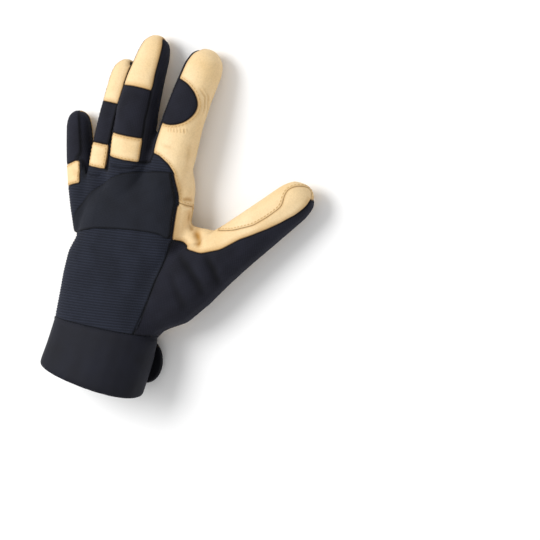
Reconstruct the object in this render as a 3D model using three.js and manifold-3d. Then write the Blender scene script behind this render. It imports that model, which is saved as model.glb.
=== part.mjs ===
// A left-hand work glove with a leather palm and a knitted stretch back, lying on its palm.
// Millimetres, +Z up, fingers along +Y, thumb towards +X, back of the hand up.
// The hollow form is the joined tubes of hand, fingers and thumb, less the same tubes a wall
// thinner. Its pattern pieces are cut from that form along the seams, a small gap apart.
import * as THREE from "three";
import { mergeVertices } from "three/addons/utils/BufferGeometryUtils.js";
import Module from "manifold-3d";

const wasm = await Module();
wasm.setup();

// Driving dimensions
const handWidth = 86; // across the palm, little finger side to index side
const handThick = 34; // palm to back, over the metacarpals
const palmLength = 108; // wrist seam to the far edge of the palm
const wall = 2; // leather or stretch cloth with its backing
const seamGap = 0.3; // between neighbouring pattern pieces

const indexLength = 118; // from its root joint in the palm to the tip, as the others
const middleLength = 119;
const ringLength = 103;
const littleLength = 84;
const thumbLength = 147;
const indexWidth = 29;
const middleWidth = 29.5;
const ringWidth = 25;
const littleWidth = 22.5;
const thumbWidth = 31;

const cuffLength = 36.5;
const cuffWidth = 77; // of the closed wrist
const cuffThick = 46;
const cuffWall = 2.8;

const strapWidth = 31;
const strapThick = 3;
const strapFreeEnd = 21; // stands off the wrist at the thumb side
const padThick = 2.4; // foam-backed knuckle pad
const tabLength = 23; // pull tab at the little finger side
const tabWidth = 8;
const tabThick = 2.6;
const bandLength = 15; // leather band over the first joint of a finger
const insetLength = 32; // stretch inset over the index finger's joint

// Facets
const handSides = 22;
const fingerSides = 12;
const capRings = 2;

const rad = THREE.MathUtils.degToRad;
const lerp = THREE.MathUtils.lerp;
const v3 = (x = 0, y = 0, z = 0) => new THREE.Vector3(x, y, z);
const Z = v3(0, 0, 1);

// Sections of the hand: along is a share of palmLength, across and half of handWidth, the rest of
// handThick. turn, in degrees, says which way a section faces.
const HAND = [
  { along: 0.0, across: 0.115, rise: 0.68, half: 0.455, top: 0.62, bottom: 0.64, power: 2.2, turn: 0 },
  { along: 0.2, across: 0.13, rise: 0.62, half: 0.475, top: 0.6, bottom: 0.64, power: 2.2, turn: 0 },
  { along: 0.42, across: 0.145, rise: 0.57, half: 0.49, top: 0.56, bottom: 0.62, power: 2.3, turn: -3 },
  { along: 0.62, across: 0.185, rise: 0.54, half: 0.468, top: 0.52, bottom: 0.58, power: 2.4, turn: -8 },
  { along: 0.84, across: 0.185, rise: 0.5, half: 0.475, top: 0.45, bottom: 0.54, power: 2.4, turn: -13 },
  { along: 1.0, across: 0.175, rise: 0.44, half: 0.42, top: 0.34, bottom: 0.44, power: 2.2, turn: -16 },
];
const HAND_CAP = 0.06; // rounding of the palm's far edge, share of palmLength
// The web between thumb and index finger, from the hand towards the thumb, in the same shares.
const WEB = [
  { along: 0.49, across: 0.44, rise: 0.45, half: 0.28, top: 0.36, bottom: 0.45, power: 2.2, turn: 90 },
  { along: 0.575, across: 0.64, rise: 0.44, half: 0.205, top: 0.28, bottom: 0.32, power: 2.1, turn: 90 },
  { along: 0.62, across: 0.79, rise: 0.44, half: 0.14, top: 0.26, bottom: 0.27, power: 2.1, turn: 90 },
  { along: 0.68, across: 0.93, rise: 0.44, half: 0.07, top: 0.24, bottom: 0.24, power: 2.1, turn: 90 },
];

// Fingers: the root as shares of handWidth and palmLength, heading to the thumb side and its change in
// degrees, roll of the back towards the little finger, then at four stations the height of the middle
// line as shares of the finger's thickness and the width as shares of its width.
const FINGERS = [
  {
    name: "index", length: indexLength, width: indexWidth, across: 0.375, along: 0.76,
    heading: 7, bend: 1, roll: 0, rise: [0.75, 0.84, 0.84, 0.54], wide: [1.1, 1.1, 1, 0.96],
  },
  {
    name: "middle", length: middleLength, width: middleWidth, across: 0.065, along: 0.77,
    heading: 1.5, bend: -1.5, roll: 0, rise: [0.75, 0.9, 0.92, 0.52], wide: [1, 1.08, 1.02, 0.82],
  },
  {
    name: "ring", length: ringLength, width: ringWidth, across: -0.17, along: 0.73,
    heading: -1, bend: 3, roll: 8, rise: [0.8, 0.76, 0.64, 0.5], wide: [0.95, 1, 0.97, 0.86],
  },
  {
    name: "little", length: littleLength, width: littleWidth, across: -0.235, along: 0.56,
    heading: -20, bend: 4, roll: 24, rise: [0.9, 0.78, 0.62, 0.5], wide: [0.86, 0.98, 0.98, 0.86],
  },
];
const FINGER_STATIONS = [0, 0.34, 0.62, 0.88]; // shares of the length, before the rounded tip
const FINGER_DEPTH = 0.84; // thickness as a share of the width

const THUMB = [
  { along: 0.0, half: 1.6, rise: 0.66, depth: 1.0 },
  { along: 0.25, half: 1.46, rise: 0.66, depth: 0.98 },
  { along: 0.5, half: 1.12, rise: 0.6, depth: 0.9 },
  { along: 0.72, half: 1.0, rise: 0.54, depth: 0.86 },
  { along: 0.9, half: 0.9, rise: 0.47, depth: 0.78 },
];
const THUMB_ROOT = { across: 0.41, along: 0.15, heading: 48.5, bend: -5.5, roll: -6 };

// Seam angles around a finger: 0 faces the thumb, 90 is the back, 180 faces the little finger.
const BACK_SEAM = 41; // edge of the back piece above the side wall
const PALM_SEAM = 32; // edge of the palm leather below it
const BACK_TURN = 14; // the back pieces reach this much further down on both sides
// Where the pieces on a finger's back start, as shares of its length from the root.
const BACKS = [
  { name: "middle", band: 0.245, tip: 0.645 },
  { name: "ring", band: 0.225, tip: 0.665 },
  { name: "little", band: 0.34, tip: null },
];
// Where the side walls between two fingers start and where the body of the palm ends between them,
// along the hand as shares of palmLength.
const CROTCHES = [
  { pair: ["index", "middle"], start: 1.04, end: 1.17 },
  { pair: ["middle", "ring"], start: 0.95, end: 1.1 },
  { pair: ["ring", "little"], start: 0.84, end: 1.0 },
];
const SIDES_END = 0.975; // where the side walls of a finger end, share of its length
const INSET = { along: 0.635, across: -0.3, reach: 0.66 }; // shares of the finger's length and width

// Seams around the thumb, as angles at shares of its length: the edge of the black back, then the edge
// between the leather over the thumb's end and the palm leather.
const THUMB_SEAMS = [
  { share: 0.3, back: 170, top: 178 },
  { share: 0.36, back: 118, top: 178 },
  { share: 0.42, back: 99, top: 176 },
  { share: 0.55, back: 91, top: 118 },
  { share: 0.68, back: 72, top: 93 },
  { share: 0.84, back: 52, top: 92 },
  { share: 0.9, back: 46, top: 110 },
  { share: 0.99, back: 34, top: 165 },
];
const THUMB_UNDER = -48; // lower edge of the black back

// Outlines in plan, as points across and along the hand in shares of handWidth and palmLength.
const BACK = [
  [-0.7, -0.02], [0.427, -0.02], [0.492, 0.206], [0.56, 0.47], [0.585, 0.63], [0.58, 0.77],
  [0.573, 0.89], [0.52, 1.05], [0.47, 1.1], [0.38, 1.14], [0.26, 1.15], [0.15, 1.09], [-0.7, 1.09],
];
const PAD = [
  [-0.33, 0.545], [-0.2, 0.575], [-0.05, 0.612], [0.22, 0.643], [0.46, 0.655], [0.567, 0.64],
  [0.568, 0.75], [0.556, 0.88], [0.51, 1.03], [0.48, 1.05], [0.29, 1.025], [0.1, 0.985], [-0.05, 0.915],
  [-0.2, 0.82], [-0.27, 0.74], [-0.33, 0.66],
];
const THUMB_BACK = [
  [0.4, -0.02], [1.1, -0.02], [1.1, 0.35], [0.95, 0.45], [0.84, 0.55], [0.74, 0.59],
  [0.66, 0.63], [0.5, 0.63],
];
const WEB_PATCH = [
  [0.5, 0.55], [0.9, 0.5], [1.1, 0.6], [0.93, 0.78], [0.72, 0.83], [0.54, 0.88], [0.5, 0.88],
];
const SEAM_RISE = { little: 0.42, thumb: 0.25 }; // of the palm leather's edge, shares of handThick

// The cuff from its rim to the wrist seam: along is a share of cuffLength, the rest of cuffWidth or
// cuffThick. turn and tilt, in degrees, say which way a section faces.
const CUFF = [
  { along: -1, across: 0.06, half: 0.495, tall: 0.5, turn: 8.5, tilt: 9 },
  { along: -0.5, across: 0.1, half: 0.495, tall: 0.475, turn: 4, tilt: 4 },
  { along: 0, across: 0.13, half: 0.5, tall: 0.45, turn: 0, tilt: 0 },
];
const STRAP_SPAN = [188, 305]; // angles, round the palm side

// Smooth values between the rows of a table.
function through(rows, groups) {
  const points = (keys) => rows.map((r) => v3(...keys.map((k) => r[k])));
  const curves = groups.map((keys) => new THREE.CatmullRomCurve3(points(keys)));
  return (t) => Object.fromEntries(groups.flatMap((keys, i) => {
    const p = curves[i].getPoint(t);
    return keys.map((k, j) => [k, p.getComponent(j)]);
  }));
}

// Section frames along a tube: middle, sideways, upward and forward directions, half width and heights.
// A section faces along the tube, or the way its table says by turn and tilt.
function frames(rows, steps) {
  const at = through(rows, [["x", "y", "z"], ["half", "top", "bottom"], ["turn", "tilt"], ["roll", "power"]]);
  const near = 1e-3;
  return Array.from({ length: steps + 1 }, (_, i) => {
    const s = at(i / steps);
    const p = at(Math.min(1, i / steps + near));
    const q = at(Math.max(0, i / steps - near));
    const along = v3(p.x - q.x, p.y - q.y, p.z - q.z);
    const given = v3(Math.sin(rad(s.turn)), Math.cos(rad(s.turn)), Math.tan(rad(s.tilt)));
    const forward = (rows[0].turn === undefined ? along : given).normalize();
    const side = forward.clone().cross(Z).normalize();
    const up = side.clone().cross(forward);
    side.applyAxisAngle(forward, -rad(s.roll));
    up.applyAxisAngle(forward, -rad(s.roll));
    const { half, top, bottom, power } = s;
    return { c: v3(s.x, s.y, s.z), side, up, forward, half, top, bottom, power };
  });
}

// A point of a section at an angle, in degrees from the thumb side over the back.
function onSection(f, angle, less, share = 1) {
  const c = Math.cos(rad(angle));
  const s = Math.sin(rad(angle));
  const x = Math.sign(c) * Math.abs(c) ** (2 / f.power) * (f.half - less) * share;
  const y = Math.sign(s) * Math.abs(s) ** (2 / f.power) * ((s > 0 ? f.top : f.bottom) - less) * share;
  return f.c.clone().addScaledVector(f.side, x).addScaledVector(f.up, y);
}

function solidOf(points, faces) {
  const g = mergeVertices(new THREE.BufferGeometry().setFromPoints(points).setIndex(faces), 1e-3);
  const vertProperties = g.attributes.position.array;
  const triVerts = new Uint32Array(g.index.array);
  return new wasm.Manifold(new wasm.Mesh({ numProp: 3, vertProperties, triVerts }));
}

const middleOf = (points) => points.reduce((s, p) => s.add(p), v3(0, 0, 0)).divideScalar(points.length);

// Rings of points joined into one closed solid, with a fan over each end.
function skin(rings, first = middleOf(rings[0]), last = middleOf(rings.at(-1))) {
  const n = rings[0].length;
  const points = [...rings.flat(), first, last];
  const faces = [];
  for (let k = 0; k < n; k++) {
    const m = (k + 1) % n;
    for (let i = 0; i + 1 < rings.length; i++) {
      const [p, q] = [i * n + k, i * n + m];
      faces.push(p, q + n, q, p, p + n, q + n);
    }
    const end = (rings.length - 1) * n;
    faces.push(points.length - 2, k, m, points.length - 1, end + m, end + k);
  }
  return solidOf(points, faces);
}

// A tube through its frames. It lies on the floor: what would reach below that is flattened.
function tube(list, sides, { less = 0, cap = 0, start = 0, end = 0 } = {}) {
  const ring = (f, share, shift) =>
    Array.from({ length: sides }, (_, k) => {
      const p = onSection(f, (360 * k) / sides, less, share).addScaledVector(f.forward, shift);
      return p.setZ(Math.max(p.z, less));
    });
  const rings = [ring(list[0], 1, -start), ...list.slice(start > 0 ? 0 : 1).map((f) => ring(f, 1, 0))];
  const last = list.at(-1);
  if (end > 0) rings.push(ring(last, 1, end));
  if (cap === 0) return skin(rings);
  const reach = cap - less;
  for (let j = 1; j <= capRings; j++) {
    const turn = (j / (capRings + 0.6)) * (Math.PI / 2);
    rings.push(ring(last, Math.cos(turn), reach * Math.sin(turn)));
  }
  const tip = last.c.clone().addScaledVector(last.forward, reach);
  return skin(rings, middleOf(rings[0]), tip);
}

// The section of a tube at a share of its length; past its last section it goes straight on.
function sectionAt({ list, reach }, share) {
  const t = Math.min(share / reach.share, 1) * (list.length - 1);
  const k = Math.min(Math.floor(t), list.length - 2);
  const [a, b, f] = [list[k], list[k + 1], {}];
  for (const key of ["half", "top", "bottom", "power"]) f[key] = lerp(a[key], b[key], t - k);
  for (const key of ["c", "side", "up", "forward"]) f[key] = a[key].clone().lerp(b[key], t - k);
  f.c.addScaledVector(f.forward, Math.max(0, share - reach.share) * reach.length);
  return f;
}

// A wedge of a tube between two angles and two shares of its length, from its middle to past its skin.
function wedge(tubed, from, to, [low, high], grow = 0, past = wall / 2) {
  const curved = typeof from === "function" || typeof to === "function";
  const [steps, arcs] = [curved ? 10 : 3, 10];
  const seam = (edge, share) => (typeof edge === "function" ? edge(share) : edge);
  const rings = Array.from({ length: steps + 1 }, (_, i) => {
    const share = lerp(low, high, i / steps);
    const f = sectionAt(tubed, share);
    const more = THREE.MathUtils.radToDeg(grow / f.half);
    const [first, last] = [seam(from, share) - more, seam(to, share) + more];
    const onArc = (_, j) => onSection(f, lerp(first, last, j / arcs), -past - grow);
    const arc = Array.from({ length: arcs + 1 }, onArc);
    const apex = f.c.clone().addScaledVector(middleOf(arc).sub(f.c).normalize(), -grow);
    const shift = i === 0 ? -grow : i === steps ? grow : 0;
    return [apex, ...arc].map((p) => p.addScaledVector(f.forward, shift));
  });
  const inside = (r) => r[0].clone().lerp(r[arcs / 2 + 1], 0.4);
  return skin(rings, inside(rings[0]), inside(rings.at(-1)));
}

// A seam angle that changes along the thumb.
function seamOf(key) {
  return (share) => {
    const k = THUMB_SEAMS.findIndex((r) => r.share > share);
    if (k <= 0) return (k < 0 ? THUMB_SEAMS.at(-1) : THUMB_SEAMS[0])[key];
    const [a, b] = [THUMB_SEAMS[k - 1], THUMB_SEAMS[k]];
    return lerp(a[key], b[key], (share - a.share) / (b.share - a.share));
  };
}

// The height of the palm leather's upper edge, falling from the little finger's side to the thumb's.
function seamHeight(x) {
  const t = THREE.MathUtils.clamp((x / handWidth + 0.4) / 1.05, 0, 1);
  return lerp(SEAM_RISE.little, SEAM_RISE.thumb, t) * handThick;
}

// An upright prism over an outline that runs anticlockwise, between two heights, grown for a gap.
function prism(outline, lowOf, grow = 0, highOf = () => 3 * handThick) {
  const n = outline.length;
  const moved = outline.map((p, i) => {
    const [a, b] = [outline[(i + n - 1) % n], outline[(i + 1) % n]];
    const before = p.clone().sub(a).normalize();
    const after = b.clone().sub(p).normalize();
    const out = new THREE.Vector2(before.y + after.y, -before.x - after.x).normalize();
    const square = out.dot(new THREE.Vector2(before.y, -before.x));
    return p.clone().addScaledVector(out, grow / Math.max(0.5, square));
  });
  const lid = THREE.ShapeUtils.triangulateShape(moved, []);
  const floor = moved.map((p) => v3(p.x, p.y, lowOf(p.x) - grow));
  const points = [...floor, ...moved.map((p) => v3(p.x, p.y, highOf(p.x) + grow))];
  const walls = moved.flatMap((_, i) => {
    const j = (i + 1) % n;
    return [i, j, j + n, i, j + n, i + n];
  });
  return solidOf(points, [...lid.flatMap(([a, b, c]) => [c, b, a, a + n, b + n, c + n]), ...walls]);
}

const plan = (rows) => rows.map(([x, y]) => new THREE.Vector2(x * handWidth, y * palmLength));

// The tubes of the form
function handFrames(table, steps) {
  const rows = table.map(({ along, across, rise, half, top, bottom, power, turn }) => ({
    x: across * handWidth, y: along * palmLength, z: rise * handThick,
    half: half * handWidth, top: top * handThick, bottom: bottom * handThick,
    roll: 0, power, turn, tilt: 0,
  }));
  return frames(rows, steps);
}

// The middle line of a finger or thumb: straight at first, then turned by its bend.
function digitRows({ across, along, heading, bend, roll, length }, stations) {
  let [x, y, was] = [across * handWidth, along * palmLength, 0];
  return stations.map((s) => {
    const way = rad(heading + bend * s.at);
    const step = (s.at - was) * length;
    was = s.at;
    x += Math.sin(way) * step;
    y += Math.cos(way) * step;
    return { x, y, z: s.z, half: s.half, top: s.tall, bottom: s.tall, roll, power: 2.15 };
  });
}

function fingerFrames(f) {
  const thick = f.width * FINGER_DEPTH;
  const stations = FINGER_STATIONS.map((at, i) => ({
    at, z: f.rise[i] * thick, half: (f.wide[i] * f.width) / 2, tall: (f.wide[i] * thick) / 2,
  }));
  return frames(digitRows(f, stations), 5);
}

function thumbFrames() {
  const stations = THUMB.map((r) => ({
    at: r.along, z: r.rise * thumbWidth, half: (r.half * thumbWidth) / 2, tall: (r.depth * thumbWidth) / 2,
  }));
  return frames(digitRows({ ...THUMB_ROOT, length: thumbLength }, stations), 7);
}

const hand = handFrames(HAND, 7);
const web = handFrames(WEB, 3);
const digits = {};
for (const f of FINGERS) {
  digits[f.name] = { list: fingerFrames(f), reach: { share: FINGER_STATIONS.at(-1), length: f.length } };
}
digits.thumb = { list: thumbFrames(), reach: { share: THUMB.at(-1).along, length: thumbLength } };

const cuff = {
  list: frames(
    CUFF.map(({ along, across, half, tall, turn, tilt }) => ({
      x: across * cuffWidth, y: along * cuffLength - seamGap,
      z: strapThick + seamGap + tall * cuffThick,
      half: half * cuffWidth, top: tall * cuffThick, bottom: tall * cuffThick,
      roll: 0, power: 2.2, turn, tilt,
    })),
    4,
  ),
  reach: { share: 1, length: cuffLength },
};

// The whole form, or its hollow when it is made a wall less.
function form(less) {
  let whole = tube(hand, handSides, { less, cap: HAND_CAP * palmLength, start: less > 0 ? 2 * wall : 0 });
  whole = whole.add(tube(web, fingerSides, { less }));
  for (const { list, reach } of Object.values(digits)) {
    whole = whole.add(tube(list, fingerSides, { less, cap: reach.length * (1 - reach.share) }));
  }
  return whole;
}

// Cutting the shell into its pieces. Each takes its region and leaves the seam gap around it.
const solids = {};
let rest = form(0).trimByPlane([0, 1, 0], 0).subtract(form(wall));

// The largest body of a solid, without the crumbs that hang on by a corner.
function biggest(solid) {
  const { vertProperties, triVerts } = solid.getMesh();
  const p = new THREE.BufferAttribute(vertProperties, 3);
  const points = Array.from({ length: p.count }, (_, i) => v3().fromBufferAttribute(p, i));
  const bodies = solidOf(points, [...triVerts]).decompose();
  return bodies.reduce((a, b) => (a.volume() > b.volume() ? a : b));
}

function cut(name, region) {
  solids[name] = biggest(rest.intersect(region(0)));
  rest = rest.subtract(region(seamGap));
}

const both = (...makers) => (grow) => makers.map((make) => make(grow)).reduce((a, b) => a.add(b));
const LITTLE_SIDE = 180 + PALM_SEAM;

// The share of a digit's length at a distance along the hand.
function shareAt({ list, reach }, y) {
  const [first, last] = [list[0].c.y, list.at(-1).c.y];
  return ((y - first) / (last - first)) * reach.share;
}

for (const { pair, start, end } of CROTCHES) {
  const [a, b] = pair.map((name) => digits[name]);
  const [lowA, lowB] = [a, b].map((d) => shareAt(d, start * palmLength));
  const around = [[b, start], [a, start], [a, end], [b, end]];
  const corners = around.map(([d, y]) => sectionAt(d, shareAt(d, y * palmLength)));
  const bottom = Math.min(...corners.map((f) => onSection(f, -PALM_SEAM, 0).z));
  const top = Math.min(...corners.map((f) => onSection(f, BACK_SEAM, 0).z));
  cut(`fourchette_${pair.join("_")}`, both(
    (grow) => wedge(a, 180 - BACK_SEAM, LITTLE_SIDE, [lowA, SIDES_END], grow),
    (grow) => wedge(b, -PALM_SEAM, BACK_SEAM, [lowB, SIDES_END], grow),
    (grow) => prism(corners.map((f) => new THREE.Vector2(f.c.x, f.c.y)), () => bottom, grow, () => top),
  ));
}

// Bands, stretch backs and leather ends of the fingers, and the roots that belong to the hand's back.
const roots = [];
for (const { name, band, tip } of BACKS) {
  const digit = digits[name];
  const joint = band + bandLength / digit.reach.length;
  const from = BACK_SEAM - BACK_TURN;
  const to = tip ? 180 + BACK_TURN - BACK_SEAM : LITTLE_SIDE;
  cut(`${name}_band`, (grow) => wedge(digit, from, to, [band, joint], grow));
  cut(`${name}_back`, (grow) => wedge(digit, from, to, [joint, tip ?? 1.2], grow));
  if (tip) cut(`${name}_tip`, (grow) => wedge(digit, from, to, [tip, 1.2], grow));
  roots.push((grow) => wedge(digit, from, to, [0.08, band], grow));
}

cut("back_ribbed", both((grow) => prism(plan(BACK), seamHeight, grow), ...roots));

const at = sectionAt(digits.index, INSET.along);
const insetEdge = new THREE.EllipseCurve(0, 0, INSET.reach * indexWidth, insetLength / 2).getPoints(24);
const insetPlan = insetEdge.slice(0, 24).map(({ x, y }) => {
  const p = at.c.clone().addScaledVector(at.side, x + INSET.across * indexWidth);
  p.addScaledVector(at.forward, y);
  return new THREE.Vector2(p.x, p.y);
});
cut("index_inset", (grow) => prism(insetPlan, () => at.c.z, grow));

cut("thumb_back", both(
  (grow) => wedge(digits.thumb, THUMB_UNDER, seamOf("back"), [0.12, SIDES_END], grow),
  (grow) => prism(plan(THUMB_BACK), seamHeight, grow),
));
cut("thumb_leather", both(
  (grow) => wedge(digits.thumb, seamOf("back"), seamOf("top"), [0.3, 1.2], grow),
  (grow) => prism(plan(WEB_PATCH), () => SEAM_RISE.little * handThick, grow),
));
solids.palm_leather = biggest(rest);

// The knuckle pad lies on the back.
const onBack = form(-seamGap - padThick).subtract(form(-seamGap));
solids.knuckle_pad = biggest(onBack.intersect(prism(plan(PAD), (x) => seamHeight(x) + 0.26 * handThick)));

const cuffTube = (less, past = 0) => tube(cuff.list, handSides, { less, start: past, end: past });
solids.cuff = cuffTube(0).subtract(cuffTube(cuffWall, cuffWall));

// A flat strip along stations, each with a point of its inner face, its width's direction and its normal.
function strip(stations, thick) {
  return skin(stations.map(({ c, w, n, half }) => [
    c.clone().addScaledVector(w, half).addScaledVector(n, thick),
    c.clone().addScaledVector(w, -half).addScaledVector(n, thick),
    c.clone().addScaledVector(w, -half),
    c.clone().addScaledVector(w, half),
  ]));
}

// Stations of a strip with a rounded end.
function rounded(c, d, n, length, half) {
  const w = d.clone().cross(n);
  const shares = [0, 0.25, 0.5, 0.68, 0.82, 0.93, 1];
  const start = length - half;
  return [{ c, w, n, half }, ...shares.map((s) => ({
    c: c.clone().addScaledVector(d, start + s * half), w, n, half: half * Math.sqrt(1.02 - s * s),
  }))];
}

const strapLow = (cuffLength - strapWidth) / 2 / cuffLength;
const strapSpan = [strapLow, strapLow + strapWidth / cuffLength];
const strapRound = cuffTube(-seamGap - strapThick)
  .subtract(cuffTube(-seamGap, strapThick))
  .intersect(wedge(cuff, STRAP_SPAN[0], STRAP_SPAN[1], strapSpan, 0, 2 * strapThick));
const half = cuff.list[2];
const leave = onSection(half, STRAP_SPAN[1] - 6, -seamGap);
const heading = onSection(half, STRAP_SPAN[1], -seamGap).sub(leave).normalize();
const outward = half.forward.clone().cross(heading).normalize();
const freeEnd = strip(rounded(leave, heading, outward, strapFreeEnd, strapWidth / 2), strapThick);
solids.strap = strapRound.add(freeEnd.subtract(cuffTube(-seamGap, strapThick)));

const tabFrame = hand[0];
const tabBase = onSection(tabFrame, 216, -seamGap).add(v3(0, -cuffWall / 2, 0));
const tabOut = onSection(tabFrame, 216, -1).sub(onSection(tabFrame, 216, 0)).setY(0).normalize();
const tabWay = v3(0, 1, 0).addScaledVector(tabOut, 0.25).normalize();
tabOut.addScaledVector(tabWay, -tabOut.dot(tabWay)).normalize();
solids.pull_tab = strip(rounded(tabBase, tabWay, tabOut, tabLength, tabWidth / 2), tabThick);

// Materials
const leather = () => new THREE.MeshStandardMaterial({ color: 0xdcbc7c, roughness: 0.72, metalness: 0 });
const ribbed = () => new THREE.MeshStandardMaterial({ color: 0x23273a, roughness: 0.85, metalness: 0 });
const stretch = () => new THREE.MeshStandardMaterial({ color: 0x1d202c, roughness: 0.8, metalness: 0 });
const neoprene = () => new THREE.MeshStandardMaterial({ color: 0x2a2d36, roughness: 0.6, metalness: 0 });
const webbing = () => new THREE.MeshStandardMaterial({ color: 0x17181d, roughness: 0.9, metalness: 0 });
const LOOKS = {
  palm_leather: leather, thumb_leather: leather, middle_tip: leather, ring_tip: leather,
  middle_band: leather, ring_band: leather, little_band: leather,
  back_ribbed: ribbed, cuff: neoprene, strap: neoprene, pull_tab: webbing,
};

const glove = new THREE.Group();
for (const [name, solid] of Object.entries(solids)) {
  const { vertProperties, triVerts } = solid.getMesh();
  const g = new THREE.BufferGeometry();
  g.setAttribute("position", new THREE.BufferAttribute(vertProperties, 3));
  g.setIndex(new THREE.BufferAttribute(triVerts, 1));
  const piece = new THREE.Mesh(g, (LOOKS[name] ?? stretch)());
  piece.name = name;
  glove.add(piece);
}

// The origin is under the middle of the glove, on the floor.
const box = new THREE.Box3().setFromObject(glove);
const centre = box.getCenter(v3());
glove.position.set(-centre.x, -centre.y, -box.min.z);

const group = new THREE.Group();
group.add(glove);
export default group;
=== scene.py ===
# A left-hand work glove, leather palm and knitted back, lying on its palm on a pale floor.
import math

import bpy
import numpy as np
from mathutils import Matrix, Vector
from mathutils.bvhtree import BVHTree


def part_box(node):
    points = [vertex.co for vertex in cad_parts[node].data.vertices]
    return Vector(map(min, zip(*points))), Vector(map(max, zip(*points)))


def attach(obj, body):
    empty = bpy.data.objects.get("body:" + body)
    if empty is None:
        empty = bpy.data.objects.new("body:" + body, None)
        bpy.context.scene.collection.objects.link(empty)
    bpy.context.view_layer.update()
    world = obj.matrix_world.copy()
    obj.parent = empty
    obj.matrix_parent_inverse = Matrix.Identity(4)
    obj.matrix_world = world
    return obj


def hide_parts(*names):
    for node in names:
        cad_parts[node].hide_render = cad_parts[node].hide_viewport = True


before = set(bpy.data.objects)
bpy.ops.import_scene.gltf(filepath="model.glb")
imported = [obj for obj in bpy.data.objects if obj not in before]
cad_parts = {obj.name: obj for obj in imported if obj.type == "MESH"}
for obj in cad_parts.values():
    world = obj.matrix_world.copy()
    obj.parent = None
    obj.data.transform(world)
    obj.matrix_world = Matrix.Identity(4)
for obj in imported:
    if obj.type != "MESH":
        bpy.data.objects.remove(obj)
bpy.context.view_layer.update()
bpy.ops.object.select_all(action="DESELECT")
MM = 0.001


# The sewn form. The glove is turned right side out and pulled over a flat heated hand form, which
# takes the facets out of it: one smooth skin over fingers, hand and cuff, on which the pattern
# pieces then meet edge to edge.
sewn = ["palm_leather", "thumb_leather", "thumb_back", "back_ribbed", "index_inset", "cuff"]
sewn += ["middle_band", "middle_back", "middle_tip", "ring_band", "ring_back", "ring_tip"]
sewn += ["little_band", "little_back"]
sewn += ["fourchette_index_middle", "fourchette_middle_ring", "fourchette_ring_little"]

rim_at = Vector((-0.0412, -0.1158, 0.0263))
rim_way = Vector((0.1478, 0.9890, 0.1584)).normalized()
grain_step = 0.9 * MM
ironing = 3.3 * MM
closing = 0.35 * MM
skin_low = 0.4 * MM


def corners_of(mesh):
    mesh.calc_loop_triangles()
    co = np.empty(len(mesh.vertices) * 3, np.float32)
    mesh.vertices.foreach_get("co", co)
    tri = np.empty(len(mesh.loop_triangles) * 3, np.int32)
    mesh.loop_triangles.foreach_get("vertices", tri)
    return co.reshape(-1, 3).astype(float), tri.reshape(-1, 3)


def cloth(name, co, tri):
    mesh = bpy.data.meshes.new(name)
    mesh.from_pydata(co.tolist(), [], tri.tolist())
    piece = bpy.data.objects.new(name, mesh)
    bpy.context.scene.collection.objects.link(piece)
    return piece


def pick(piece):
    bpy.ops.object.select_all(action="DESELECT")
    piece.select_set(True)
    bpy.context.view_layer.objects.active = piece


def work(piece, kind, **settings):
    pick(piece)
    step = piece.modifiers.new(kind, kind)
    for key, value in settings.items():
        setattr(step, key, value)
    bpy.ops.object.modifier_apply(modifier=step.name)


def edges_of(tri):
    pairs = np.sort(tri[:, [0, 1, 1, 2, 2, 0]].reshape(-1, 2), axis=1)
    return np.unique(pairs, axis=0)


def spread(values, edges, rounds):
    n = len(values)
    a, b = edges.T
    count = np.maximum(np.bincount(a, minlength=n) + np.bincount(b, minlength=n), 1)[:, None]
    for _ in range(rounds):
        near = [np.bincount(a, v[b], n) + np.bincount(b, v[a], n) for v in values.T]
        values = 0.5 * values + 0.5 * np.stack(near, 1) / count
    return values


def outward(co, tri):
    a, b, c = co[tri[:, 0]], co[tri[:, 1]], co[tri[:, 2]]
    face = np.cross(b - a, c - a)
    total = sum(
        np.stack([np.bincount(tri[:, j], face[:, k], len(co)) for k in range(3)], 1) for j in range(3)
    )
    return total / np.maximum(np.linalg.norm(total, axis=1), 1e-20)[:, None]


blocks, faces, start = [], [], 0
for name in sewn + ["cuff"]:
    co, tri = corners_of(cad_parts[name].data)
    if len(blocks) == len(sewn):
        co = co - np.array(rim_way) * 12 * MM
    blocks.append(co)
    faces.append(tri + start)
    start += len(co)
# A card across the wrist keeps the form closed where the hand is wider than the cuff.
wrist_seam = -0.07917
ends = np.concatenate([corners_of(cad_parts[name].data)[0] for name in sewn[:4]])
ends = ends[ends[:, 1] < wrist_seam + 0.6 * MM]
card = cloth("card", np.concatenate([ends - (0, 0.8 * MM, 0), ends + (0, 1.6 * MM, 0)]), np.empty((0, 3), int))
pick(card)
bpy.ops.object.mode_set(mode="EDIT")
bpy.ops.mesh.select_all(action="SELECT")
bpy.ops.mesh.convex_hull()
bpy.ops.object.mode_set(mode="OBJECT")
co, tri = corners_of(card.data)
bpy.data.objects.remove(card)
blocks.append(co)
faces.append(tri + start)
form = cloth("form", np.concatenate(blocks), np.concatenate(faces))
pick(form)
bpy.ops.object.mode_set(mode="EDIT")
bpy.ops.mesh.select_all(action="SELECT")
bpy.ops.mesh.remove_doubles(threshold=1e-6)
bpy.ops.object.mode_set(mode="OBJECT")
work(form, "DISPLACE", strength=closing, mid_level=0.0)
work(form, "REMESH", mode="VOXEL", voxel_size=grain_step)
bpy.ops.object.mode_set(mode="EDIT")
bpy.ops.mesh.select_all(action="SELECT")
past_rim = rim_at - rim_way * 8 * MM
bpy.ops.mesh.bisect(plane_co=past_rim, plane_no=rim_way, clear_inner=True)
bpy.ops.mesh.separate(type="LOOSE")
bpy.ops.object.mode_set(mode="OBJECT")
shells = list(bpy.context.selected_objects)
shells.sort(key=lambda o: -(Vector(o.bound_box[6]) - Vector(o.bound_box[0])).length)
skin_co, skin_tri = corners_of(shells[0].data)
for shell in shells:
    bpy.data.objects.remove(shell)

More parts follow.
